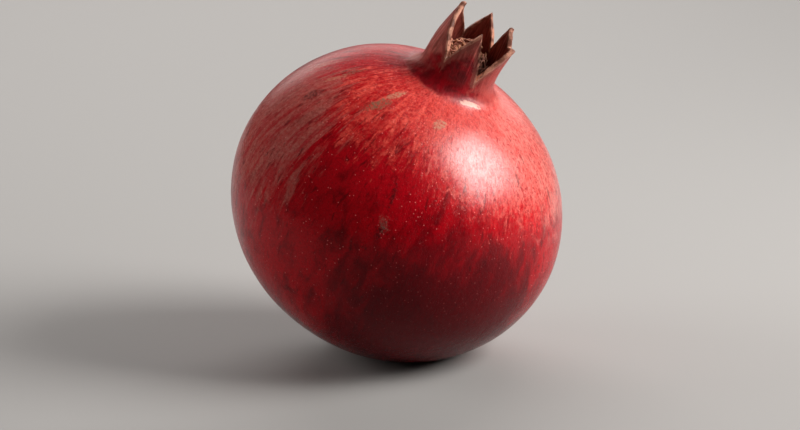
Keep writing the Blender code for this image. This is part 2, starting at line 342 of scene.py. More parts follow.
streakInputs = ("Across", "Along", "Offset", "Detail", "Warp", "Low", "High")
mottleInputs = ("Scale", "Detail", "Warp", "Low", "High")
rind = {
    "colours": {
        "crimson": paint(172, 4, 19),
        "deep": paint(108, 2, 10),
        # ember and coral: partly the rind's own tone, partly painted light on the side towards the key light
        "ember": paint(206, 34, 38),
        "coral": paint(216, 86, 78),
        "flame": paint(232, 90, 76),
        # painted sheen: pale pink standing in for the broad reflection of the key light on the right side
        "paintedSheen": paint(228, 146, 134),
        # dusky tones: partly a dull bloom of the rind, partly a painted reflection of the bright room at
        # grazing angles on the left
        "dusky": paint(180, 98, 88),
        "duskyRed": paint(170, 52, 52),
        # painted shade: the maroon of the shaded underside
        "paintedShade": paint(84, 2, 10),
        "darkStreak": paint(70, 4, 8),
        "speck": paint(232, 122, 118),
        "tan": paint(186, 130, 104),
        "olive": paint(122, 86, 66),
        # painted highlight: a pale cream glint in the fillet under the neck
        "paintedGlint": paint(236, 170, 150),
        "grey": paint(160, 120, 106),
        "neck": paint(154, 4, 20),
        "neckDark": paint(104, 2, 11),
        "sepalDusky": paint(190, 100, 90),
        "sepalBrown": paint(140, 70, 60),
        # painted light: coral on the sepals of the side towards the key light
        "sepalPaintedLight": paint(184, 76, 68),
        "lining": paint(168, 84, 72),
        "liningDark": paint(114, 50, 42),
        "marginPale": paint(206, 146, 122),
        "marginDark": paint(110, 66, 52),
    },
    "regions": {
        # side of the room it faces, where it ends as the cosine of an angle, how sharply
        # the coral side faces the key light, and its colour is partly painted light
        "coral": ((0.62, -0.46, 0.62), 0.76, 1.8),
        # where the painted sheen lies, towards the key light
        "paintedSheen": ((0.88, -0.20, 0.44), 0.90, 1.8),
        # the dusky side, partly a painted reflection at grazing angles
        "dusky": ((-0.72, -0.34, 0.60), 0.88, 1.7),
        "shoulder": ((0.383, -0.211, 0.899), 0.84, 3.0),
        "flushed": ((0.0, -0.64, 0.77), 0.925, 2.2),
        # painted shade over the front underside
        "paintedShade": ((0.22, -0.76, -0.60), 0.72, 2.2),
        "waxy": ((0.66, -0.42, 0.62), 0.74, 2.2),
        # the stem end, where the painted shade reaches as well
        "stemSide": ((-0.38, 0.21, -0.90), 0.66, 0.9),
    },
    "streaks": {
        # patterns along the meridians, with their values in the order of streakInputs
        "clouds": (11.0, 6.0, 0.0, 6.0, 0.5, 0.44, 0.74),
        "ember": (19.0, 9.0, 4.0, 6.0, 0.6, 0.50, 0.64),
        "coral": (30.0, 16.0, 14.0, 6.0, 0.7, 0.56, 0.72),
        "crumbs": (44.0, 30.0, 8.0, 4.0, 0.8, 0.50, 0.62),
        "flushed": (24.0, 8.0, 21.0, 6.0, 0.4, 0.46, 0.60),
        "veins": (16.0, 9.0, 31.0, 6.0, 0.4, 0.34, 0.68),
        "patches": (7.0, 6.0, 40.0, 6.0, 0.4, 0.36, 0.60),
        "dusky": (15.0, 3.0, 2.0, 6.0, 0.3, 0.43, 0.60),
        "duskyTone": (26.0, 4.5, 6.0, 5.0, 0.3, 0.34, 0.56),
        "paintedShade": (9.0, 4.0, 17.0, 8.0, 0.4, 0.34, 0.92),
        "dark": (26.0, 9.0, 12.0, 4.0, 0.5, 0.58, 0.70),
        "flecks": (48.0, 18.0, 9.0, 3.0, 0.6, 0.60, 0.70),
        "ribs": (11.0, 8.0, 5.0, 4.0, 0.4, 0.36, 0.68),
        "hair": (64.0, 27.0, 7.0, 3.5, 1.9, 0.33, 0.45),
        "wrinkles": (32.0, 24.0, 27.0, 4.0, 1.1, 0.30, 0.70),
    },
    "mottles": {
        # patterns that run no way in particular, with their values in the order of mottleInputs
        "paintedSheen": (0.22, 6.0, 0.5, 0.34, 0.72),
        "grain": (1.0, 7.0, 0.0, 0.34, 0.68),
        "pepper": (1.5, 4.0, 0.0, 0.46, 0.72),
        "scarGrain": (1.3, 4.0, 0.0, 0.30, 0.64),
        "blotches": (0.30, 5.0, 0.5, 0.34, 0.66),
        "blades": (0.28, 6.0, 0.4, 0.26, 0.78),
        "paintedLitSide": (0.45, 4.0, 0.0, 0.30, 0.72),
        "crown": (0.26, 8.0, 0.4, 0.26, 0.72),
        "dry": (0.9, 4.0, 0.0, 0.40, 0.60),
        "worn": (0.34, 7.0, 0.0, 0.40, 0.60),
        "wax": (0.20, 4.0, 0.0, 0.30, 0.70),
    },
    "dots": {"Scale": 0.68, "Size": 0.155, "Share": 0.85},
    "layers": {
        # which colour a pattern lays over what is there, and how strongly
        "ember": ("ember", 0.85),
        "coral": ("coral", 0.85),
        "paintedSheen": ("paintedSheen", 0.5),
        "crumbs": ("crimson", 0.8),
        "paintedShade": ("paintedShade", 0.94),
        "pepper": ("deep", 0.5),
        "dark": ("darkStreak", 1.0),
        "flecks": ("coral", 0.4),
        "dots": ("speck", 0.7),
        "paintedLitSide": ("sepalPaintedLight", 0.75),
        "dry": ("sepalBrown", 0.75),
    },
    "ramps": {
        # the low and high end of a mask, and what they are turned into
        "flame": (0.0, 1.9, 0.08, 0.96),
        "patches": (0.0, 1.0, 0.42, 0.95),
        "duskyGrain": (0.0, 1.0, 0.55, 0.95),
        "dark": (-0.2, 0.25, 0.6, 0.15),
        "dots": (0.0, 0.8, 1.0, 0.35),
        "rim": (0.90, 0.985, 0.0, 0.8),
        "waxRough": (0.0, 1.0, 0.17, 0.26),
        "hairRough": (0.0, 1.0, 0.3, 0.0),
        "waxySide": (-0.5, 0.4, 0.0, 1.0),
        "smooth": (0.15, 0.75, 0.4, 1.0),
        "coat": (0.0, 1.0, 0.16, 0.66),
        "coatAbove": (0.1, -0.9, 0.0, 0.28),
    },
    "noises": {"lumps": (0.32, 3.0), "pores": (1.6, 4.0)},  # scale and detail
    "relief": {
        # how high each stands, in millimetres
        "lumps": 0.13, "hair": 0.028, "wrinkles": 0.034, "pores": 0.018, "flecks": 0.01, "dots": 0.02,
        "scarsAndGlint": 0.05, "ribs": 0.05,
    },
    "finish": {
        "fleckLean": 0.3,  # how much the flecks keep to the coral side
        "dryCrown": 0.6,  # how dry the crown's outside is, where its inside is 1
        "scarRough": 0.3, "dryRough": 0.35, "specular": 0.12, "coatRoughness": 0.28,
    },
    "scarBox": {"height": 1.4, "depth": 3.0},  # for each half width, and through the skin
    "scarsAndGlint": (
        # its two ends on the fruit, half width, fray, share, colour, and whether the grain breaks it up
        ((-10.6, -17.2, 39.1), (-14.4, -21.0, 36.8), 0.9, 1.4, 0.9, "tan", True),
        ((-13.4, -21.8, 36.7), (-17.6, -24.8, 33.8), 1.4, 1.9, 0.9, "olive", True),
        ((-23.0, -9.4, 37.2), (-28.2, -12.4, 33.8), 0.8, 1.5, 0.7, "olive", True),
        ((-27.0, -12.6, 34.4), (-32.4, -13.4, 30.2), 0.7, 1.6, 0.6, "tan", True),
        ((1.0, -24.6, 36.9), (2.4, -22.4, 38.0), 1.2, 1.2, 0.9, "tan", True),
        ((-31.4, -17.4, 29.2), (-35.0, -18.2, 25.6), 1.3, 1.5, 0.75, "darkStreak", True),
        ((-1.9, -39.6, 24.2), (-1.2, -43.6, 17.6), 0.5, 1.6, 0.8, "darkStreak", True),
        ((-0.2, -45.0, 14.4), (-1.0, -46.6, 9.0), 0.7, 1.9, 0.8, "darkStreak", True),
        ((-1.6, -44.7, 15.6), (0.4, -45.9, 11.6), 0.6, 2.6, 0.3, "grey", True),
        # painted highlight, not a scar: a pale cream streak where the key light glints in the fillet under
        # the neck
        ((4.0, -12.7, 41.6), (9.8, -9.4, 41.2), 0.55, 1.7, 0.75, "paintedGlint", False),
        ((22.0, 31.0, 28.0), (16.0, 34.0, 30.0), 1.2, 1.5, 0.7, "tan", True),
        ((-20.0, 38.0, -16.0), (-14.0, 36.0, -24.0), 1.2, 1.6, 0.7, "olive", True),
    ),
    "crown": {
        # the angles that its lit and dull sides face, and how far up or down each tone reaches; the coral of
        # the lit side is painted light
        "frontTurn": 285.0, "paintedLitTurn": 340.0, "shadyTurn": 215.0, "dullTurn": 195.0,
        "bladeStart": 0.34, "frontReach": 0.30, "dullReach": 0.34, "paintedLitStart": 0.84, "shadyReach": 0.22,
        "crownStart": 0.50, "dryStart": 0.55,
    },
}


def streaks(tree, meridian, name, bias=0.0):
    given = dict(zip(streakInputs, rind["streaks"][name]))
    return useGroup(tree, streakGroup, Meridian=meridian, Bias=bias, **given)


def mottle(tree, own, name, bias=0.0):
    given = dict(zip(mottleInputs, rind["mottles"][name]))
    return useGroup(tree, mottleGroup, Vector=own, Bias=bias, **given)


def layOn(tree, under, name, mask):
    tone, strength = rind["layers"][name]
    return blendTo(tree, times(tree, mask, strength), under, rind["colours"][tone])


def rindSkin(tree, own, meridian, lean):
    # the colour of the body: crimson, with coral, dusky and maroon regions that fray into each other; the
    # coral is partly painted light, the dusky partly a painted reflection, the blush a painted sheen, and the
    # maroon underside painted shade
    c, ramps = rind["colours"], rind["ramps"]
    colour = blendTo(tree, streaks(tree, meridian, "clouds"), c["crimson"], c["deep"])
    # ember and coral over the side towards the key light: partly the rind's own tone, partly painted light
    ember = streaks(tree, meridian, "ember", lean["coral"])
    colour = layOn(tree, colour, "ember", ember)
    colour = layOn(tree, colour, "coral", streaks(tree, meridian, "coral", lean["coral"]))
    # painted sheen: pale pink laid where the key light's reflection spreads
    colour = layOn(tree, colour, "paintedSheen", mottle(tree, own, "paintedSheen", lean["paintedSheen"]))
    colour = layOn(tree, colour, "crumbs", times(tree, streaks(tree, meridian, "crumbs"), ember))

    # the flush in front, in patches of crimson and flame
    grain = mottle(tree, own, "grain")
    flame = ramp(tree, plus(tree, grain, streaks(tree, meridian, "veins")), *ramps["flame"])
    flushed = streaks(tree, meridian, "flushed", lean["flushed"])
    flushed = times(tree, flushed, ramp(tree, streaks(tree, meridian, "patches"), *ramps["patches"]))
    colour = blendTo(tree, flushed, colour, blendTo(tree, flame, c["crimson"], c["flame"]))

    # the dusky side, partly a painted reflection, and the maroon underside, which is painted shade
    # dusky: partly the rind's dull bloom, partly a painted grazing reflection on the left and over the top
    dusky = streaks(tree, meridian, "dusky", lean["dusky"])
    dusky = times(tree, dusky, ramp(tree, grain, *ramps["duskyGrain"]))
    duskyTone = blendTo(tree, streaks(tree, meridian, "duskyTone"), c["duskyRed"], c["dusky"])
    colour = blendTo(tree, dusky, colour, duskyTone)
    # painted shade: the front underside and the stem end darkened to maroon
    paintedShade = streaks(tree, meridian, "paintedShade", larger(tree, lean["paintedShade"], lean["stemSide"]))
    colour = layOn(tree, colour, "paintedShade", paintedShade)

    # pepper, dark streaks, pale flecks and specks
    colour = layOn(tree, colour, "pepper", mottle(tree, own, "pepper"))
    dark = times(tree, streaks(tree, meridian, "dark"), ramp(tree, lean["shoulder"], *ramps["dark"]))
    colour = layOn(tree, colour, "dark", dark)
    flecks = streaks(tree, meridian, "flecks", times(tree, lean["coral"], rind["finish"]["fleckLean"]))
    colour = layOn(tree, colour, "flecks", flecks)
    dots = useGroup(tree, speckGroup, Vector=own, **rind["dots"])
    dots = times(tree, dots, ramp(tree, paintedShade, *ramps["dots"]))
    return layOn(tree, colour, "dots", dots), flecks, dots


def scarAndGlintMarks(tree, own, colour):
    grain = mottle(tree, own, "scarGrain")
    marks = 0.0
    box = rind["scarBox"]
    for start, end, width, fray, share, tone, broken in rind["scarsAndGlint"]:
        way = Vector(end) - Vector(start)
        size = (way.length / 2 + width, width * box["height"], box["depth"])
        turn = way.to_track_quat("X", "Z").to_euler()
        middle = (Vector(start) + Vector(end)) / 2
        mask = useGroup(tree, patchGroup, Vector=own, Middle=middle, Turn=turn, Size=size, Fray=fray)
        if broken:
            mask = times(tree, mask, grain)
        mask = times(tree, mask, share)
        colour = blendTo(tree, mask, colour, rind["colours"][tone])
        marks = larger(tree, marks, mask)
    return colour, marks


def crownSkin(tree, own, meridian, colour):
    # the red neck, the duller blades of the sepals and their dry edges, frayed into the body below, with
    # painted light in coral on the lit side
    c, look = rind["colours"], rind["crown"]
    crown, rise, edge = (attribute(tree, name) for name in ("crown", "rise", "edge"))
    front, paintedLitSide, shady, dull = (
        facing(tree, meridian, look[name]) for name in ("frontTurn", "paintedLitTurn", "shadyTurn", "dullTurn"))
    ribs = streaks(tree, meridian, "ribs")
    neck = blendTo(tree, mottle(tree, own, "blotches"), c["neck"], c["neckDark"])
    reach = minus(tree, minus(tree, rise, look["bladeStart"]), times(tree, front, look["frontReach"]))
    reach = plus(tree, reach, times(tree, dull, look["dullReach"], clamp=True))
    blades = blendTo(tree, ribs, c["sepalDusky"], c["sepalBrown"])
    tone = blendTo(tree, mottle(tree, own, "blades", reach), neck, blades)
    # painted light: coral laid on the sepals of the lit side
    tone = layOn(tree, tone, "paintedLitSide", mottle(tree, own, "paintedLitSide", minus(tree, paintedLitSide, look["paintedLitStart"])))
    lower = minus(tree, plus(tree, crown, times(tree, shady, look["shadyReach"])), look["crownStart"])
    crownShare = mottle(tree, own, "crown", lower)
    colour = blendTo(tree, crownShare, colour, tone)
    dry = mottle(tree, own, "dry", minus(tree, edge, look["dryStart"]))
    return layOn(tree, colour, "dry", dry), ribs, crownShare


def rindColour(tree, own, meridian, lean, inside):
    # the whole colour, and the masks that the roughness and the relief use as well
    c = rind["colours"]
    colour, flecks, dots = rindSkin(tree, own, meridian, lean)
    colour, ribs, crownShare = crownSkin(tree, own, meridian, colour)
    colour, marks = scarAndGlintMarks(tree, own, colour)
    colour = blendTo(tree, inside, colour, blendTo(tree, ribs, c["lining"], c["liningDark"]))
    rim = ramp(tree, attribute(tree, "edge"), *rind["ramps"]["rim"])
    margin = blendTo(tree, mottle(tree, own, "worn"), c["marginPale"], c["marginDark"])
    colour = blendTo(tree, larger(tree, attribute(tree, "crest"), rim), colour, margin)
    return colour, flecks, dots, ribs, crownShare, marks


def makeRind():
    material, tree, shader = startMaterial("rind")
    ramps, finish, noises = rind["ramps"], rind["finish"], rind["noises"]
    own = ownPlace(tree)
    meridian = attribute(tree, "meridian", "Vector")
    inside = attribute(tree, "inside")
    lean = {name: leaning(tree, own, *region) for name, region in rind["regions"].items()}
    colour, flecks, dots, ribs, crownShare, marks = rindColour(tree, own, meridian, lean, inside)
    hair = streaks(tree, meridian, "hair")
    wrinkles = streaks(tree, meridian, "wrinkles")

    # how rough it is: the crown, the scars and the patch of painted highlight are dry
    dry = larger(tree, times(tree, crownShare, finish["dryCrown"]), inside)
    rough = ramp(tree, mottle(tree, own, "wax"), *ramps["waxRough"])
    rough = plus(tree, rough, ramp(tree, hair, *ramps["hairRough"]))
    rough = plus(tree, rough, times(tree, marks, finish["scarRough"]))
    rough = plus(tree, rough, times(tree, dry, finish["dryRough"]), clamp=True)

    # the relief, in which the ribs stand out only on the crown
    parts = {
        "lumps": plainNoise(tree, own, *noises["lumps"]), "hair": hair, "wrinkles": wrinkles,
        "pores": plainNoise(tree, own, *noises["pores"]), "flecks": flecks, "dots": dots, "scarsAndGlint": marks,
        "ribs": times(tree, ribs, larger(tree, crownShare, inside)),
    }
    height = 0.0
    for name, part in parts.items():
        height = plus(tree, height, times(tree, part, rind["relief"][name]))

    # a coat of wax on the sunny side, broken up by hair lines and wrinkles, and a thin one over the top
    gloss = times(tree, hair, ramp(tree, wrinkles, *ramps["smooth"]))
    coat = times(tree, ramp(tree, lean["waxy"], *ramps["waxySide"]), ramp(tree, gloss, *ramps["coat"]))
    coat = plus(tree, coat, ramp(tree, lean["paintedShade"], *ramps["coatAbove"]))
    setShader(tree, shader, {
        "Base Color": colour, "Roughness": rough, "Normal": bumps(tree, height, 1.0, mm),
        "Coat Weight": times(tree, coat, minus(tree, 1.0, dry)), "Coat Roughness": finish["coatRoughness"],
        "Specular IOR Level": finish["specular"]})
    return material


# Fruit: body, shoulder and crown in one skin, turned and then shaped

body = {
    "equator": 48.0, "pole": 43.2, "lopsided": 0.0125, "ribShare": 0.0035, "ribCount": 5,
    "flatTopRadius": 31.0, "flatTopDepth": 0.9, "dimpleRadius": 11.0, "dimpleDepth": 1.1,
    "socketRadius": 4.3, "socketDepth": 1.2, "socketTaper": 0.1, "socketRing": 2.0,
    "rows": 118, "inset": 0.05,
    "dents": ((0.045, 0.22), (0.12, 0.10)),  # how many a millimetre, and how deep
    # puckers round the stem and folds over the shoulder: how deep, how they run, and where they fade
    "stemFolds": {"deep": 0.28, "along": 0.08, "count": 4.5, "fade": (4.0, 11.0)},
    "shoulderFolds": {"deep": 0.22, "along": 0.03, "count": 6.0, "fade": (12.0, 26.0)},
}
crownTube = {
    "shoulder": 18.0, "collarHeight": 45.4, "collarRadius": 10.7, "tubeRadius": 10.3, "rimHeight": 60.0,
    "crestRise": 0.35, "collarWall": 1.9, "rimWall": 1.1, "leanPower": 1.6,
    "filletFlare": 0.35, "filletDrop": 3.2, "filletReach": 4.6, "filletNudge": 0.01,
    "cupFloor": 43.4, "cupCorner": 0.6, "cupCornerRise": 0.5, "cupRings": (0.2, 0.4, 0.6, 0.8),
    "rows": 36, "filletRows": 22, "crestRows": 4, "columnsPerHalfSepal": 24,
    "keel": 0.30, "keelAcross": (0.72, 1.0), "keelRise": (0.05, 0.6), "innerRelief": 0.55,
    "wrinkle": 0.16, "wrinkleRise": (-0.1, 0.4),
    "wrinkleWaves": ((13.0, 0.07, 1.0), (29.0, 0.10, 0.5)),  # how many around and along, and weight
    "lip": 0.14, "lipReach": 1.1, "slopeStep": 0.6, "edgeReach": 3.5, "farFromRim": 9.0,
    "ragged": 0.35, "raggedLevel": 0.3, "raggedCount": 9.0, "raggedTo": 0.2,
    "spacingReach": 0.8, "dentReach": 4.0, "crownFade": 16.0,
}
sepals = (
    {"notch": 244.0, "notchHeight": 48.8, "tip": 282.5, "tipHeight": 60.5, "lean": -0.9, "fullness": 0.72},
    {"notch": 302.4, "notchHeight": 46.9, "tip": 352.0, "tipHeight": 57.8, "lean": 2.0, "fullness": 0.8},
    {"notch": 370.0, "notchHeight": 56.4, "tip": 385.0, "tipHeight": 61.1, "lean": -0.4, "fullness": 0.8},
    {"notch": 411.0, "notchHeight": 51.4, "tip": 437.0, "tipHeight": 61.1, "lean": -1.9, "fullness": 0.72},
    {"notch": 470.4, "notchHeight": 51.6, "tip": 538.0, "tipHeight": 63.4, "lean": -2.7, "fullness": 0.6},
)
fullTurn = 360.0
mergeDistance = 0.0005


def bodyPoint(turn):
    radius, height = body["equator"] * math.sin(turn), body["pole"] * math.cos(turn)
    if height > 0:
        return radius, height - body["flatTopDepth"] * (1.0 - smoothStep(radius, 0.0, body["flatTopRadius"]))
    return radius, height + body["dimpleDepth"] * (1.0 - smoothStep(radius, 0.0, body["dimpleRadius"]))


def crownOutline(side):
    t = crownTube
    points = []
    for row in range(t["rows"] + 1):
        share = row / t["rows"]
        ease = 1.0 - (1.0 - share) ** 2
        thickness = t["collarWall"] + (t["rimWall"] - t["collarWall"]) * ease
        middle = t["collarRadius"] + (t["tubeRadius"] - t["collarRadius"]) * ease - thickness / 2
        height = t["collarHeight"] + share * (t["rimHeight"] - t["collarHeight"])
        points.append((middle + side * thickness / 2, height))
    return points


def filletOutline():
    # a curve from the collar down and out onto the shoulder
    t = crownTube
    shoulderTurn = math.asin(t["shoulder"] / body["equator"])
    end = Vector(bodyPoint(shoulderTurn))
    onwards = (Vector(bodyPoint(shoulderTurn + t["filletNudge"])) - end).normalized()
    start = Vector((t["collarRadius"], t["collarHeight"]))
    below = start + Vector((t["filletFlare"], -t["filletDrop"]))
    before = end - onwards * t["filletReach"]
    points = []
    for row in range(1, t["filletRows"]):
        share = row / t["filletRows"]
        left = 1.0 - share
        point = (start * left**3 + below * (3 * left**2 * share)
                 + before * (3 * left * share**2) + end * share**3)
        points.append(tuple(point))
    return points


def fruitOutline():
    # from the middle of the cup's floor, over the rim and down to the stem end, each point with its zone
    t = crownTube
    inner, outer = crownOutline(-1), crownOutline(1)
    edge = inner[0][0] - t["cupCorner"]
    floor = [(edge * ring, t["cupFloor"]) for ring in (0.0, *t["cupRings"])]
    floor.append((edge, t["cupFloor"] + t["cupCornerRise"]))
    crest = []
    for row in range(1, t["crestRows"] + 1):
        turn = math.pi * row / (t["crestRows"] + 1)
        middle = (inner[-1][0] + outer[-1][0]) / 2
        half = (outer[-1][0] - inner[-1][0]) / 2
        crest.append((middle - half * math.cos(turn), t["rimHeight"] + t["crestRise"] * math.sin(turn)))
    first = math.asin(t["shoulder"] / body["equator"])
    last = math.pi - math.asin(body["socketRadius"] / body["equator"])
    skin = [bodyPoint(first + (last - first) * row / body["rows"]) for row in range(body["rows"] + 1)]
    bottom = skin[-1][1] + body["socketDepth"]
    socketRadii = (body["socketRadius"] - body["socketTaper"], body["socketRing"], 0.0)
    socket = [(radius, bottom) for radius in socketRadii]
    zones = (("floor", floor), ("inner", inner), ("crest", crest), ("outer", outer[::-1]),
             ("fillet", filletOutline()), ("skin", skin), ("socket", socket))
    return [(radius, height, zone) for zone, points in zones for radius, height in points]


def lathe(shape, outline, steps, rowLayer=None):
    # turns an outline of radii and heights round the axis; a row layer keeps each vertex's place in it
    line = []
    for row, (radius, height) in enumerate(outline):
        vertex = shape.verts.new((radius, 0.0, height))
        if rowLayer is not None:
            vertex[rowLayer] = row
        line.append(vertex)
    edges = [shape.edges.new(pair) for pair in zip(line, line[1:])]
    bmesh.ops.spin(shape, geom=line + edges, cent=(0.0, 0.0, 0.0), axis=(0.0, 0.0, 1.0), angle=math.tau,
                   steps=steps, use_merge=True)
    bmesh.ops.remove_doubles(shape, verts=shape.verts[:], dist=mergeDistance)
    bmesh.ops.recalc_face_normals(shape, faces=shape.faces[:])


def sepalAt(evenAngle):
    count = len(sepals)
    place = (evenAngle % fullTurn) / fullTurn * count
    index = min(count - 1, int(place))
    following = sepals[(index + 1) % count]
    end = following["notch"] + (fullTurn if index == count - 1 else 0.0)
    return sepals[index], following, end, place - index


def crownAngle(evenAngle):
    sepal, _, end, share = sepalAt(evenAngle)
    if share < 0.5:
        return sepal["notch"] + (sepal["tip"] - sepal["notch"]) * share * 2
    return sepal["tip"] + (end - sepal["tip"]) * (share * 2 - 1)


def rimHeight(evenAngle):
    t = crownTube
    sepal, following, _, share = sepalAt(evenAngle)
    notch = sepal["notchHeight"] if share < 0.5 else following["notchHeight"]
    near = 1.0 - abs(share * 2 - 1)
    plain = notch + (sepal["tipHeight"] - notch) * near ** sepal["fullness"]
    angle = math.radians(crownAngle(evenAngle))
    jag = softNoise(onCircle(angle, t["raggedLevel"]) * t["raggedCount"])
    return plain - t["ragged"] * jag * smoothStep(near, 0.0, t["raggedTo"])


def sepalLean(evenAngle):
    count = len(sepals)
    place = ((evenAngle % fullTurn) / fullTurn * count - 0.5) % count
    index = int(place)
    before, after = sepals[index]["lean"], sepals[(index + 1) % count]["lean"]
    return before + (after - before) * smoothStep(place - index, 0.0, 1.0)


def crownWrinkle(angle, height):
    total = 0.0
    for around, along, weight in crownTube["wrinkleWaves"]:
        total += weight * noise.noise(onCircle(angle) * around + Vector((0.0, 0.0, height * along)))
    return total


def shapeCrownPoint(radius, height, evenAngle, angle, zone):
    # stretches the plain tube up into sepals, leans them, and gives them keels, wrinkles and a thicker lip
    t = crownTube
    tall = t["rimHeight"] - t["collarHeight"]
    share = (height - t["collarHeight"]) / tall
    rim = rimHeight(evenAngle)
    height = t["collarHeight"] + share * (rim - t["collarHeight"])
    rise = max(0.0, (height - t["collarHeight"]) / tall)
    radius += sepalLean(evenAngle) * rise ** t["leanPower"]
    near = 1.0 - abs(sepalAt(evenAngle)[3] * 2 - 1)
    side = 1.0 if zone == "outer" else t["innerRelief"]
    keel = t["keel"] * smoothStep(near, *t["keelAcross"]) * smoothStep(rise, *t["keelRise"])
    wrinkle = t["wrinkle"] * crownWrinkle(angle, height) * smoothStep(rise, *t["wrinkleRise"])
    radius += side * (keel + wrinkle)
    before, after = evenAngle - t["slopeStep"], evenAngle + t["slopeStep"]
    slope = rimHeight(after) - rimHeight(before)
    slope /= math.radians(crownAngle(after) - crownAngle(before)) * radius or 1.0
    fromRim = max(0.0, rim - height) / math.sqrt(1.0 + slope * slope)
    lip = t["lip"] * (1.0 - smoothStep(fromRim, 0.0, t["lipReach"]))
    if zone != "crest":
        radius += lip if zone == "outer" else -lip
    return radius, height, rise, fromRim


def shapeBodyPoint(radius, height, angle):
    polar = math.atan2(radius, height)
    swell = 1.0 - body["lopsided"] * math.sin(2 * polar) * math.cos(angle)
    swell += body["ribShare"] * math.sin(polar) ** 2 * math.cos(body["ribCount"] * angle)
    return radius * swell, height * swell


def skinRelief(point, angle):
    # shallow dents over the body, puckers round the stem and folds over the shoulder, always inwards
    depth = body["inset"]
    for perMm, deep in body["dents"]:
        depth += deep * softNoise(point * perMm)
    radius = math.hypot(point.x, point.y)
    folds = body["stemFolds"] if point.z < 0 else body["shoulderFolds"]
    fold = softNoise(onCircle(angle, radius * folds["along"]) * folds["count"])
    return depth + folds["deep"] * fold * (1.0 - smoothStep(radius, *folds["fade"]))


def sepalSpacing(radius, height, zone):
    # how much a point keeps to the sepals' own uneven spacing: fully in the crown, and less down the body
    if height <= 0:
        return 0.0
    if zone in ("floor", "inner", "crest", "outer"):
        return 1.0
    return 1.0 - smoothStep(radius, crownTube["collarRadius"], crownTube["spacingReach"] * body["equator"])


def lengthsAlong(outline):
    along = [0.0]
    for before, after in zip(outline, outline[1:]):
        along.append(along[-1] + math.hypot(after[0] - before[0], after[1] - before[1]))
    return along


def shapeFruit(shape, outline, rowLayer):
    # moves each vertex to its place, still in the fruit's own frame, and writes what the rind's patterns read
    t = crownTube
    meridian = shape.verts.layers.float_vector.new("meridian")
    maskNames = ("crown", "rise", "inside", "edge", "crest")
    masks = {name: shape.verts.layers.float.new(name) for name in maskNames}
    along = lengthsAlong(outline)
    collarRow = [zone for _, _, zone in outline].index("fillet") - 1
    for vertex in shape.verts:
        row = round(vertex[rowLayer])
        zone = outline[row][2]
        inCrown = zone in ("inner", "crest", "outer")
        x, y, height = vertex.co
        radius = math.hypot(x, y)
        evenAngle = math.degrees(math.atan2(y, x)) % fullTurn
        plain = sepals[0]["notch"] + evenAngle
        angle = math.radians(plain + sepalSpacing(radius, height, zone) * (crownAngle(evenAngle) - plain))
        rise, fromRim = 0.0, t["farFromRim"]
        if inCrown:
            radius, height, rise, fromRim = shapeCrownPoint(radius, height, evenAngle, angle, zone)
        wayAlong = t["collarHeight"] - height if zone == "outer" else along[row] - along[collarRow]
        radius, height = shapeBodyPoint(radius, height, angle)
        place = Vector((radius * math.cos(angle), radius * math.sin(angle), height))
        if zone in ("fillet", "skin"):
            dentStart = t["collarRadius"], t["collarRadius"] + t["dentReach"]
            away = smoothStep(radius, *dentStart) if height > 0 else 1.0
            place -= place.normalized() * skinRelief(place, angle) * away
        nearCrown = 1.0 - smoothStep(radius, t["collarRadius"], t["crownFade"]) if height > 0 else 0.0
        vertex.co = place
        vertex[meridian] = onCircle(angle, wayAlong / body["equator"])
        vertex[masks["rise"]] = rise
        vertex[masks["crown"]] = 1.0 if inCrown else nearCrown
        vertex[masks["inside"]] = 1.0 if zone in ("floor", "inner") else 0.0
        vertex[masks["edge"]] = 1.0 - smoothStep(fromRim, 0.0, t["edgeReach"])
        vertex[masks["crest"]] = 1.0 if zone == "crest" else 0.0


def buildFruit(material):
    outline = fruitOutline()
    shape = bmesh.new()
    rowLayer = shape.verts.layers.float.new("row")
    steps = 2 * crownTube["columnsPerHalfSepal"] * len(sepals)
    lathe(shape, [(radius, height) for radius, height, _ in outline], steps, rowLayer)
    shapeFruit(shape, outline, rowLayer)
    bmesh.ops.transform(shape, matrix=ownToWorld, verts=shape.verts[:])

    # the flat spot on which it rests
    everything = shape.verts[:] + shape.edges[:] + shape.faces[:]
    bmesh.ops.bisect_plane(shape, geom=everything, plane_co=(0.0, 0.0, 0.0), plane_no=(0.0, 0.0, -1.0),
                           clear_outer=True)
    bmesh.ops.holes_fill(shape, edges=[edge for edge in shape.edges if edge.is_boundary], sides=0)
    return finishPiece(shape, "pomegranateFruit", material)


def meshObject(shape, name, material):
    mesh = bpy.data.meshes.new(name)
    shape.to_mesh(mesh)
    shape.free()
    mesh.materials.append(material)
    made = bpy.data.objects.new(name, mesh)
    bpy.context.scene.collection.objects.link(made)
    return made


def finishPiece(shape, name, material):
    piece = meshObject(shape, name, material)
    piece.data.shade_smooth()
    print("made", name, "with", sum(len(p.vertices) - 2 for p in piece.data.polygons), "triangles")
    return piece


# Dried stamens

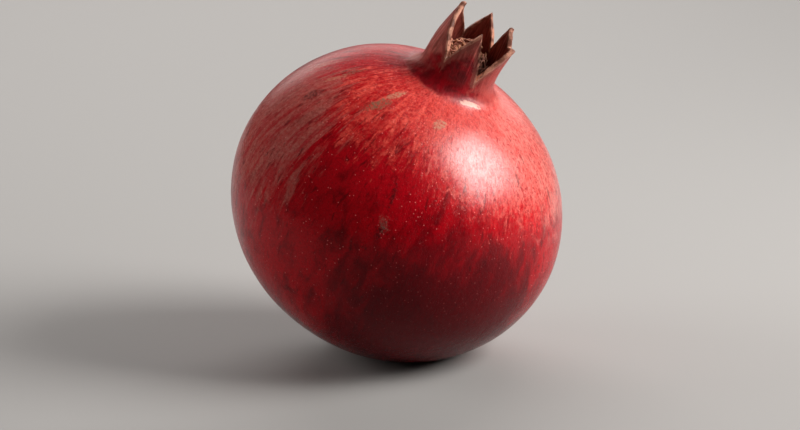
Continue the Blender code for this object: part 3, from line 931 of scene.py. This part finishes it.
stamenTuft = {
    "count": 190, "points": 9, "sides": 5, "seed": 23, "radius": (0.17, 0.27), "tops": (48.0, 51.9),
    "rootSpread": (0.2, 0.9), "rootDepth": 0.6, "middleDrop": 0.7, "turnJitter": 0.2,
    "reach": (-0.4, 0.1), "reachPower": 1.4, "swing": 1.3, "swingPower": 1.3,
    "arch": 0.64, "crinkle": 0.16, "crinkleGrowth": 4, "taper": 0.97, "goldenAngle": 137.5,
    "antherLength": (0.5, 0.85), "antherRadius": (0.3, 0.42), "antherSides": 7, "antherRings": 5,
    "widest": 8.1,
    "discRadius": 7.9, "discTop": 46.0, "discCrown": 0.9, "discEdge": 0.5, "discBottom": 44.25,
    "discProfile": ((0.0, 1.0), (0.25, 0.92), (0.5, 0.7), (0.75, 0.35), (0.92, 0.0)),  # of radius and crown
    "discFoot": 0.94, "discColumns": 72, "discBumps": 0.25, "discBumpsPerMm": 0.9,
    "colours": {
        "dark": paint(150, 88, 70),
        "pale": paint(214, 152, 128),
        "dust": paint(100, 56, 42),
        "anther": paint(156, 112, 80),
        # painted shade: the dark tone of the stamens on the side that the sepals shade
        "paintedStamenShade": paint(72, 36, 28),
    },
    "dust": {"Scale": 1.4, "Detail": 3.0, "Low": 0.42, "High": 0.62}, "dustShare": 0.4, "antherShare": 0.7,
    "paintedShadeTurn": 312.0, "paintedShadeRamp": (0.5, 4.5, 0.0, 0.85), "roughRamp": (0.0, 1.0, 0.62, 0.9), "specular": 0.2,
    "grain": (3.5, 3.0), "bump": (0.5, 0.0002),
}


def makeStamenMaterial():
    material, tree, shader = startMaterial("driedStamens")
    c, look = stamenTuft["colours"], stamenTuft
    own = ownPlace(tree)
    colour = blendTo(tree, attribute(tree, "shade"), c["dark"], c["pale"])
    dust = useGroup(tree, mottleGroup, Vector=own, **look["dust"])
    colour = blendTo(tree, times(tree, dust, look["dustShare"]), colour, c["dust"])
    colour = blendTo(tree, times(tree, attribute(tree, "tip"), look["antherShare"]), colour, c["anther"])
    # painted shade: the stamens on one side darkened, as the sepals there shade them
    paintedStamenShade = ramp(tree, facing(tree, own, look["paintedShadeTurn"]), *look["paintedShadeRamp"])
    setShader(tree, shader, {
        "Base Color": blendTo(tree, paintedStamenShade, colour, c["paintedStamenShade"]), "Roughness": ramp(tree, dust, *look["roughRamp"]),
        "Normal": bumps(tree, plainNoise(tree, own, *look["grain"]), *look["bump"]),
        "Specular IOR Level": look["specular"]})
    return material


def stamenPath(dice, number):
    # the points of one filament, from its root in the disc up to its tip
    s = stamenTuft
    turn = math.radians(number * s["goldenAngle"]) + dice.uniform(-s["turnJitter"], s["turnJitter"])
    nearest, furthest = s["rootSpread"]
    root = (nearest + (furthest - nearest) * math.sqrt((number + 0.5) / s["count"])) * s["discRadius"]
    foot = s["discTop"] - s["rootDepth"]
    top = dice.uniform(*s["tops"]) - s["middleDrop"] * (1.0 - root / s["discRadius"])
    swing = dice.uniform(-s["swing"], s["swing"])
    reach = dice.uniform(*s["reach"])
    limit = s["widest"] - s["antherRadius"][1]
    points = []
    for step in range(s["points"]):
        share = step / (s["points"] - 1)
        radius = root * (1.0 + reach * share ** s["reachPower"])
        angle = turn + swing * share ** s["swingPower"]
        height = foot + (top - foot) * math.sin(share * math.pi * s["arch"])
        wave = s["crinkle"] * min(1.0, share * s["crinkleGrowth"])
        point = Vector((radius * math.cos(angle), radius * math.sin(angle), height))
        point += Vector([dice.gauss(0.0, wave) for _ in range(3)])
        flat = math.hypot(point.x, point.y)
        if flat > limit:
            point.x, point.y = point.x * limit / flat, point.y * limit / flat
        point.z = min(point.z, s["tops"][1])
        points.append(point)
    return points


def makeFilament(dice, number, layerNames):
    # one filament: a small disc extruded from point to point, a little slimmer each time, and its anther
    s = stamenTuft
    points = stamenPath(dice, number)
    strand = bmesh.new()
    shadeLayer, tipLayer = [strand.verts.layers.float.new(name) for name in layerNames]
    ahead = (points[1] - points[0]).normalized()
    radius = dice.uniform(*s["radius"])
    ring = bmesh.ops.create_circle(strand, cap_ends=True, radius=radius, segments=s["sides"])["verts"]
    start = Matrix.LocRotScale(points[0], ahead.to_track_quat("Z", "Y"), None)
    bmesh.ops.transform(strand, matrix=start, verts=ring)
    face = ring[0].link_faces[0]
    for index in range(1, len(points)):
        grown = bmesh.ops.extrude_face_region(strand, geom=[face] + face.edges[:] + face.verts[:])["geom"]
        face = next(part for part in grown if isinstance(part, bmesh.types.BMFace))
        onward = (points[min(index + 1, len(points) - 1)] - points[index - 1]).normalized()
        turn = ahead.rotation_difference(onward).to_matrix().to_4x4()
        step = Matrix.Translation(points[index]) @ turn @ Matrix.Scale(s["taper"], 4)
        bmesh.ops.transform(strand, matrix=step @ Matrix.Translation(-points[index - 1]), verts=face.verts[:])
        ahead = onward
    stretch = Vector((dice.uniform(*s["antherRadius"]),) * 2 + (dice.uniform(*s["antherLength"]),))
    place = Matrix.LocRotScale(points[-1], ahead.to_track_quat("Z", "Y"), stretch)
    anther = bmesh.ops.create_uvsphere(
        strand, u_segments=s["antherSides"], v_segments=s["antherRings"], radius=1.0, matrix=place)["verts"]
    bmesh.ops.recalc_face_normals(strand, faces=strand.faces[:])
    shade = dice.random()
    for vertex in strand.verts:
        vertex[shadeLayer] = shade
    for vertex in anther:
        vertex[tipLayer] = 1.0
    mesh = bpy.data.meshes.new("filament")
    strand.to_mesh(mesh)
    strand.free()
    return mesh


def buildStamens(material):
    s = stamenTuft
    shape = bmesh.new()
    layerNames = ("shade", "tip")
    for name in layerNames:
        shape.verts.layers.float.new(name)
    radius, top, bottom = s["discRadius"], s["discTop"], s["discBottom"]
    disc = [(share * radius, top + s["discCrown"] * high) for share, high in s["discProfile"]]
    disc += [(radius, top - s["discEdge"]), (s["discFoot"] * radius, bottom), (0.0, bottom)]
    lathe(shape, disc, s["discColumns"])
    for vertex in shape.verts:
        if vertex.co.z > top - s["discEdge"]:
            vertex.co.z += s["discBumps"] * noise.noise(vertex.co * s["discBumpsPerMm"])
    dice = random.Random(s["seed"])
    for number in range(s["count"]):
        strand = makeFilament(dice, number, layerNames)
        shape.from_mesh(strand)
        bpy.data.meshes.remove(strand)
    bmesh.ops.transform(shape, matrix=ownToWorld, verts=shape.verts[:])
    return finishPiece(shape, "driedStamens", material)


# Stem stub

stemStub = {
    "radius": 3.4, "length": 5.0, "hollow": 0.3, "columns": 72, "gap": 0.35,
    # shares of the radius and of the length, down the side, and then the rings of the cut end
    "profile": ((1.0, 0.0), (1.03, 0.08), (1.06, 0.18), (1.08, 0.28), (1.0, 0.38), (0.88, 0.5), (0.83, 0.62),
                (0.8, 0.75), (0.81, 0.86), (0.86, 0.95), (0.9, 1.0)),
    "endRings": (0.7, 0.45, 0.2, 0.0),
    "fibre": 0.12, "fibreCount": 5.0, "fibreAlong": 0.12, "cutBumps": 0.15, "cutBumpsPerMm": 1.3,
    "colours": {
        "bark": paint(128, 98, 66),
        "barkDark": paint(66, 44, 30),
        "lichen": paint(150, 130, 100),
        "wood": paint(176, 142, 98),
        "woodDark": paint(120, 86, 56),
    },
    "fibres": {"Across": 14.0, "Along": 4.0, "Detail": 4.0, "Low": 0.38, "High": 0.64},
    "lichen": {"Scale": 0.7, "Detail": 3.0, "Low": 0.54, "High": 0.66}, "lichenShare": 0.5,
    "rings": {"Scale": 0.55, "Distortion": 1.2, "Detail": 2.0},
    "roughRamp": (0.0, 1.0, 0.72, 0.92), "bump": (0.6, 0.0003),
}


def makeStemMaterial():
    material, tree, shader = startMaterial("woodyStem")
    c, look = stemStub["colours"], stemStub
    own = ownPlace(tree)
    fibres = useGroup(tree, streakGroup, Meridian=attribute(tree, "meridian", "Vector"), **look["fibres"])
    colour = blendTo(tree, fibres, c["bark"], c["barkDark"])
    lichen = useGroup(tree, mottleGroup, Vector=own, **look["lichen"])
    colour = blendTo(tree, times(tree, lichen, look["lichenShare"]), colour, c["lichen"])
    rings = addNode(tree, "TexWave", {"Vector": own, **look["rings"]}, wave_type="RINGS", rings_direction="Z")
    wood = blendTo(tree, rings.outputs["Fac"], c["wood"], c["woodDark"])
    setShader(tree, shader, {
        "Base Color": blendTo(tree, attribute(tree, "cut"), colour, wood),
        "Roughness": ramp(tree, fibres, *look["roughRamp"]), "Normal": bumps(tree, fibres, *look["bump"])})
    return material


def buildStem(material):
    s = stemStub
    base = fruitOutline()[-1][1] - s["gap"]
    end = base - s["length"]
    outline = [(0.0, base)]
    outline += [(s["radius"] * share, base - s["length"] * down) for share, down in s["profile"]]
    outline += [(s["radius"] * share, end + s["hollow"] * (1.0 - share)) for share in s["endRings"]]
    shape = bmesh.new()
    rowLayer = shape.verts.layers.float.new("row")
    lathe(shape, outline, s["columns"], rowLayer)
    meridian = shape.verts.layers.float_vector.new("meridian")
    cut = shape.verts.layers.float.new("cut")
    lastSide = len(s["profile"])
    for vertex in shape.verts:
        angle = math.atan2(vertex.co.y, vertex.co.x)
        row = round(vertex[rowLayer])
        if 0 < row <= lastSide:
            up = Vector((0.0, 0.0, vertex.co.z * s["fibreAlong"]))
            shrink = 1.0 - s["fibre"] * softNoise(onCircle(angle) * s["fibreCount"] + up)
            vertex.co.x *= shrink
            vertex.co.y *= shrink
        else:
            vertex.co.z += s["cutBumps"] * softNoise(vertex.co * s["cutBumpsPerMm"])
        vertex[meridian] = onCircle(angle, vertex.co.z / body["equator"])
        vertex[cut] = 1.0 if row > lastSide else 0.0
    bmesh.ops.transform(shape, matrix=ownToWorld, verts=shape.verts[:])
    return finishPiece(shape, "woodyStem", material)


# Floor

floorSetup = {
    "halfSize": 4.0,  # metres
    "shader": {"Base Color": paint(154, 153, 151), "Roughness": 0.7},
}


def addFloor():
    material, tree, shader = startMaterial("paleFloor")
    setShader(tree, shader, floorSetup["shader"])
    shape = bmesh.new()
    bmesh.ops.create_grid(shape, x_segments=1, y_segments=1, size=floorSetup["halfSize"])
    return meshObject(shape, "floor", material)


addCamera()
addLights()
addFloor()
print("camera, floor and lights are set")

pieces = (
    (buildFruit(makeRind()), "fruit", "rind"),
    (buildStamens(makeStamenMaterial()), "stamens", "dried_stamens"),
    (buildStem(makeStemMaterial()), "stem", "woody_stem"),
)
for piece, node, slot in pieces:
    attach(piece, "root")
    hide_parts(node)
print("pieces ride on the fruit's body")
